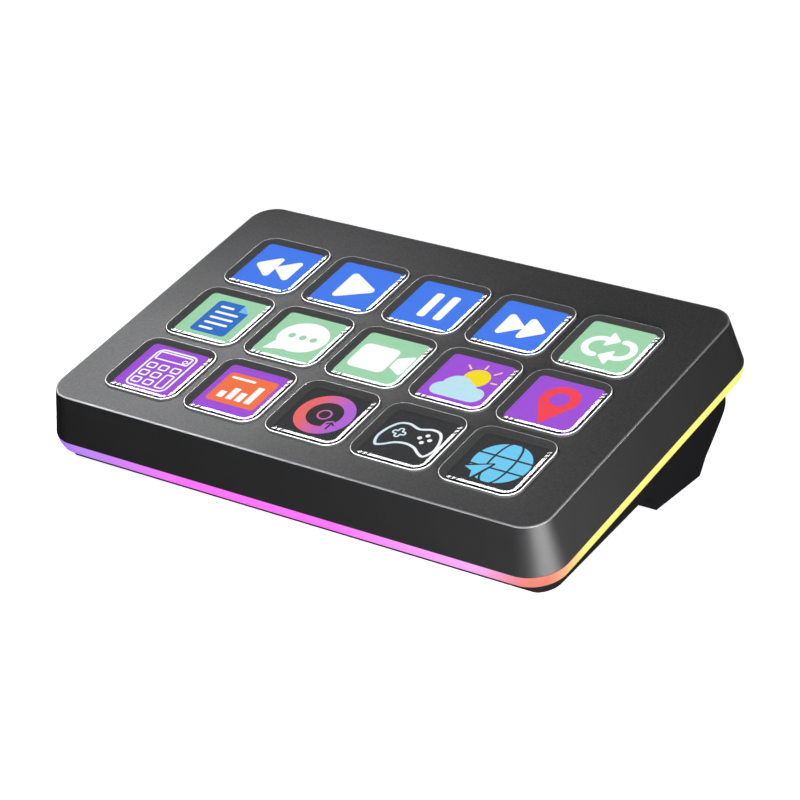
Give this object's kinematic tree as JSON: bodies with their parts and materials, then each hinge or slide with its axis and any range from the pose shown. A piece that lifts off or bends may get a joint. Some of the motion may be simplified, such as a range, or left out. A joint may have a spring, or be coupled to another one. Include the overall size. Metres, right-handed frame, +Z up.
{
  "type": "stream controller",
  "caption": "Sloping desk deck with a grid of clear square keys over a display, a glowing ring between its two shells and an arched foot under the back.",
  "frame": {"origin": "on the desk, under the middle of the outline's box", "axes": "+X to the user's right, +Y away from the user, +Z up; the rubber pads stand on z = 0"},
  "size_m": [0.1214, 0.0787, 0.0302],
  "materials": {
    "shell": "fine-grained dark grey ABS, matte",
    "key_clear": "clear polycarbonate, gloss",
    "light_guide": "milky light guide, lit from behind in colours that run round the deck",
    "base": "black ABS, satin",
    "silicone": "dark grey silicone, matte",
    "circuit_board": "glass-fibre board with green solder mask, satin",
    "display_glass": "black display glass, gloss",
    "carrier": "black ABS, matte",
    "screw_steel": "zinc-plated steel",
    "chip": "black moulding compound, matte",
    "connector": "ivory nylon, matte",
    "ribbon_foil": "amber polyimide film",
    "socket_steel": "drawn stainless steel",
    "led_body": "white LED body with clear lens",
    "pad_rubber": "black rubber, matte"
  },
  "bodies": {
    "deck": {"top_shell": "shell", "light_ring": "light_guide", "bottom_cover": "base", "dome_mat": "silicone", "switch_board": "circuit_board", "display_panel": "display_glass", "display_carrier": "carrier", "carrier_screws": "screw_steel", "main_board": "circuit_board", "board_chips": "chip", "board_screws": "screw_steel", "ribbon_sockets": "connector", "display_ribbon": "ribbon_foil", "key_ribbon": "ribbon_foil", "usb_socket": "socket_steel", "led_bars": "circuit_board", "leds": "led_body", "front_pads": "pad_rubber", "rear_pads": "pad_rubber", "case_screws": "screw_steel"},
    "key_1_1": {"key_cap_1_1": "key_clear"},
    "key_1_2": {"key_cap_1_2": "key_clear"},
    "key_1_3": {"key_cap_1_3": "key_clear"},
    "key_1_4": {"key_cap_1_4": "key_clear"},
    "key_1_5": {"key_cap_1_5": "key_clear"},
    "key_2_1": {"key_cap_2_1": "key_clear"},
    "key_2_2": {"key_cap_2_2": "key_clear"},
    "key_2_3": {"key_cap_2_3": "key_clear"},
    "key_2_4": {"key_cap_2_4": "key_clear"},
    "key_2_5": {"key_cap_2_5": "key_clear"},
    "key_3_1": {"key_cap_3_1": "key_clear"},
    "key_3_2": {"key_cap_3_2": "key_clear"},
    "key_3_3": {"key_cap_3_3": "key_clear"},
    "key_3_4": {"key_cap_3_4": "key_clear"},
    "key_3_5": {"key_cap_3_5": "key_clear"}
  },
  "joints": [
    {"name": "key_1_1_press", "type": "slide", "parent": "deck", "child": "key_1_1", "axis": [0, 0.1959, -0.9806], "range_m": [0, 0.001], "stiffness_N_per_m": 400, "springref_m": -0.0005, "deforming": ["dome_mat"]},
    {"name": "key_1_2_press", "type": "slide", "parent": "deck", "child": "key_1_2", "axis": [0, 0.1959, -0.9806], "range_m": [0, 0.001], "stiffness_N_per_m": 400, "springref_m": -0.0005, "deforming": ["dome_mat"]},
    {"name": "key_1_3_press", "type": "slide", "parent": "deck", "child": "key_1_3", "axis": [0, 0.1959, -0.9806], "range_m": [0, 0.001], "stiffness_N_per_m": 400, "springref_m": -0.0005, "deforming": ["dome_mat"]},
    {"name": "key_1_4_press", "type": "slide", "parent": "deck", "child": "key_1_4", "axis": [0, 0.1959, -0.9806], "range_m": [0, 0.001], "stiffness_N_per_m": 400, "springref_m": -0.0005, "deforming": ["dome_mat"]},
    {"name": "key_1_5_press", "type": "slide", "parent": "deck", "child": "key_1_5", "axis": [0, 0.1959, -0.9806], "range_m": [0, 0.001], "stiffness_N_per_m": 400, "springref_m": -0.0005, "deforming": ["dome_mat"]},
    {"name": "key_2_1_press", "type": "slide", "parent": "deck", "child": "key_2_1", "axis": [0, 0.1959, -0.9806], "range_m": [0, 0.001], "stiffness_N_per_m": 400, "springref_m": -0.0005, "deforming": ["dome_mat"]},
    {"name": "key_2_2_press", "type": "slide", "parent": "deck", "child": "key_2_2", "axis": [0, 0.1959, -0.9806], "range_m": [0, 0.001], "stiffness_N_per_m": 400, "springref_m": -0.0005, "deforming": ["dome_mat"]},
    {"name": "key_2_3_press", "type": "slide", "parent": "deck", "child": "key_2_3", "axis": [0, 0.1959, -0.9806], "range_m": [0, 0.001], "stiffness_N_per_m": 400, "springref_m": -0.0005, "deforming": ["dome_mat"]},
    {"name": "key_2_4_press", "type": "slide", "parent": "deck", "child": "key_2_4", "axis": [0, 0.1959, -0.9806], "range_m": [0, 0.001], "stiffness_N_per_m": 400, "springref_m": -0.0005, "deforming": ["dome_mat"]},
    {"name": "key_2_5_press", "type": "slide", "parent": "deck", "child": "key_2_5", "axis": [0, 0.1959, -0.9806], "range_m": [0, 0.001], "stiffness_N_per_m": 400, "springref_m": -0.0005, "deforming": ["dome_mat"]},
    {"name": "key_3_1_press", "type": "slide", "parent": "deck", "child": "key_3_1", "axis": [0, 0.1959, -0.9806], "range_m": [0, 0.001], "stiffness_N_per_m": 400, "springref_m": -0.0005, "deforming": ["dome_mat"]},
    {"name": "key_3_2_press", "type": "slide", "parent": "deck", "child": "key_3_2", "axis": [0, 0.1959, -0.9806], "range_m": [0, 0.001], "stiffness_N_per_m": 400, "springref_m": -0.0005, "deforming": ["dome_mat"]},
    {"name": "key_3_3_press", "type": "slide", "parent": "deck", "child": "key_3_3", "axis": [0, 0.1959, -0.9806], "range_m": [0, 0.001], "stiffness_N_per_m": 400, "springref_m": -0.0005, "deforming": ["dome_mat"]},
    {"name": "key_3_4_press", "type": "slide", "parent": "deck", "child": "key_3_4", "axis": [0, 0.1959, -0.9806], "range_m": [0, 0.001], "stiffness_N_per_m": 400, "springref_m": -0.0005, "deforming": ["dome_mat"]},
    {"name": "key_3_5_press", "type": "slide", "parent": "deck", "child": "key_3_5", "axis": [0, 0.1959, -0.9806], "range_m": [0, 0.001], "stiffness_N_per_m": 400, "springref_m": -0.0005, "deforming": ["dome_mat"]}
  ]
}
